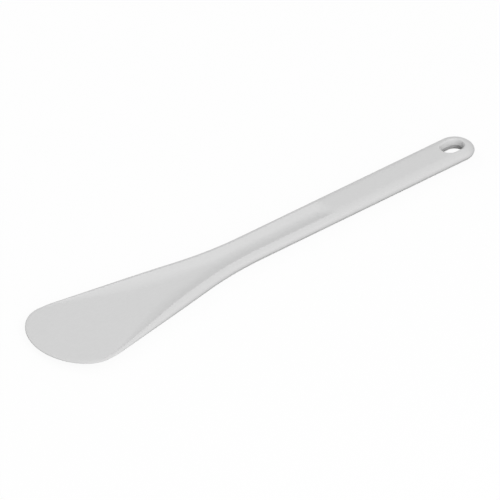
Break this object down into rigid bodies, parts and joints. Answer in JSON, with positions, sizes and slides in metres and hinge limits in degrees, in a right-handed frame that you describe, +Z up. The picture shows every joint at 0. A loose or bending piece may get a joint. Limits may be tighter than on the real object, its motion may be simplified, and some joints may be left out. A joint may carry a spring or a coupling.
{
  "type": "mixing spatula",
  "caption": "Moulded mixing spatula with a broad rounded blade, a shallow trough between rounded rims along the neck, and a flat handle with a hanging eye.",
  "frame": {"origin": "on the surface that the spatula lies on, under the middle of its length and width", "axes": "+X along the length from the blade to the hanging eye, +Y across the blade, +Z up out of the upper face"},
  "size_m": [0.3, 0.0588, 0.0068],
  "materials": {
    "polymer": "fine satin mould texture, pale neutral grey glass-filled polyamide, faintly mottled by its fibres"
  },
  "bodies": {
    "root": {"spatula": "polymer"}
  },
  "joints": []
}
